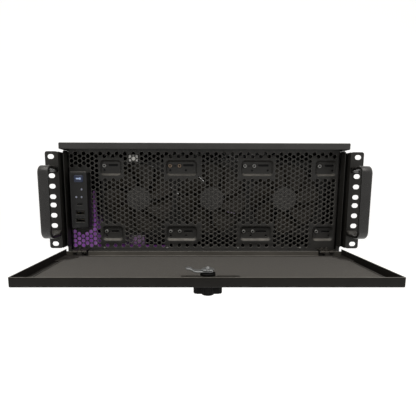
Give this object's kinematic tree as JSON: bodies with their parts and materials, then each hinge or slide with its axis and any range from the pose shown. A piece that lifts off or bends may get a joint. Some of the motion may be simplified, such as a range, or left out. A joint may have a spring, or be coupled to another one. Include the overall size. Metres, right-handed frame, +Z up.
{
  "type": "rack-mount computer chassis",
  "caption": "Four-unit rack-mount computer chassis with rack ears, bow handles, a drop-down locking front door over a perforated fan wall, and its internal modules.",
  "frame": {"origin": "middle of the plane where the rack ears meet the rack rails, at the bottom of the four-unit rack space", "axes": "+X to the right seen from the front, +Y from the front to the rear, +Z up"},
  "size_m": [0.4826, 0.6299, 0.1907],
  "materials": {
    "body_paint": "fine-textured black powder coat, satin",
    "grille_paint": "fine-textured black powder coat on perforated sheet",
    "handle_paint": "smooth satin black on cast metal",
    "black_plastic": "fine moulded texture",
    "fan_plastic": "smooth moulded",
    "plated_steel": "zinc plated, lightly brushed",
    "filter_mesh": "fine woven dust mesh",
    "board_green": "solder-masked board",
    "bare_aluminium": "extruded, satin",
    "tinted_light": "translucent diffuser, lit",
    "blue_light": "translucent, lit"
  },
  "bodies": {
    "chassis": {"base_tray": "body_paint", "top_rail": "body_paint", "top_cover": "body_paint", "rear_panel": "body_paint", "rack_ear_left": "body_paint", "rack_ear_right": "body_paint", "hinge_leaf_left": "body_paint", "hinge_leaf_right": "body_paint", "slot_covers": "body_paint", "power_supply": "body_paint", "drive_cage": "body_paint", "front_grille": "grille_paint", "handle_left": "handle_paint", "handle_right": "handle_paint", "io_housing": "black_plastic", "power_inlet": "black_plastic", "front_fan_frame_left": "fan_plastic", "front_fan_frame_middle": "fan_plastic", "front_fan_frame_right": "fan_plastic", "rear_fan_frame_left": "fan_plastic", "rear_fan_frame_right": "fan_plastic", "cpu_fan_frame": "fan_plastic", "expansion_card": "fan_plastic", "hinge_pin_left": "plated_steel", "hinge_pin_right": "plated_steel", "usb_c_socket": "plated_steel", "usb_a_socket_upper": "plated_steel", "usb_a_socket_lower": "plated_steel", "rear_io_shield": "plated_steel", "thumbscrew_left": "plated_steel", "thumbscrew_right": "plated_steel", "io_board": "board_green", "motherboard": "board_green", "cpu_heatsink": "bare_aluminium", "drive_lower": "bare_aluminium", "drive_upper": "bare_aluminium", "light_bar": "tinted_light", "memory_module_1": "tinted_light", "memory_module_2": "tinted_light", "memory_module_3": "tinted_light", "io_light_pipe": "blue_light"},
    "door": {"door_panel": "body_paint", "door_filter": "filter_mesh", "lock_bracket": "body_paint", "lock_body": "black_plastic", "door_leaf_left": "body_paint", "door_leaf_right": "body_paint"},
    "lock": {"lock_knob": "black_plastic", "lock_plug": "plated_steel", "lock_cam": "plated_steel", "lock_nut": "plated_steel"},
    "power_button": {"power_button": "blue_light"},
    "front_fan_left": {"front_fan_rotor_left": "fan_plastic"},
    "front_fan_middle": {"front_fan_rotor_middle": "fan_plastic"},
    "front_fan_right": {"front_fan_rotor_right": "fan_plastic"},
    "rear_fan_left": {"rear_fan_rotor_left": "fan_plastic"},
    "rear_fan_right": {"rear_fan_rotor_right": "fan_plastic"},
    "cpu_fan": {"cpu_fan_rotor": "fan_plastic"},
    "psu_fan": {"psu_fan_rotor": "fan_plastic"},
    "power_switch": {"power_switch_rocker": "black_plastic"}
  },
  "joints": [
    {"name": "door_hinge", "type": "hinge", "parent": "chassis", "child": "door", "pos_m": [0, 0.0032, 0.008], "axis": [-1, 0, 0], "range_deg": [0, 90]},
    {"name": "lock_turn", "type": "hinge", "parent": "door", "child": "lock", "pos_m": [0.0005, -0.135, 0.006], "axis": [0, 0, 1], "range_deg": [0, 90]},
    {"name": "power_button_press", "type": "slide", "parent": "chassis", "child": "power_button", "axis": [0, 1, 0], "range_m": [0, 0.0015], "stiffness_N_per_m": 400},
    {"name": "front_fan_left_spin", "type": "hinge", "parent": "chassis", "child": "front_fan_left", "pos_m": [-0.1076, 0.043, 0.091], "axis": [0, 1, 0], "continuous": true},
    {"name": "front_fan_middle_spin", "type": "hinge", "parent": "chassis", "child": "front_fan_middle", "pos_m": [0.0124, 0.043, 0.091], "axis": [0, 1, 0], "continuous": true},
    {"name": "front_fan_right_spin", "type": "hinge", "parent": "chassis", "child": "front_fan_right", "pos_m": [0.1324, 0.043, 0.091], "axis": [0, 1, 0], "continuous": true},
    {"name": "rear_fan_left_spin", "type": "hinge", "parent": "chassis", "child": "rear_fan_left", "pos_m": [-0.07, 0.452, 0.112], "axis": [0, 1, 0], "continuous": true},
    {"name": "rear_fan_right_spin", "type": "hinge", "parent": "chassis", "child": "rear_fan_right", "pos_m": [0.014, 0.452, 0.112], "axis": [0, 1, 0], "continuous": true},
    {"name": "cpu_fan_spin", "type": "hinge", "parent": "chassis", "child": "cpu_fan", "pos_m": [0.002, 0.308, 0.07], "axis": [0, 1, 0], "continuous": true},
    {"name": "psu_fan_spin", "type": "hinge", "parent": "chassis", "child": "psu_fan", "pos_m": [-0.165, 0.452, 0.104], "axis": [0, 1, 0], "continuous": true},
    {"name": "power_switch_rock", "type": "hinge", "parent": "chassis", "child": "power_switch", "pos_m": [-0.141, 0.4605, 0.032], "axis": [1, 0, 0], "range_deg": [0, 16]}
  ]
}
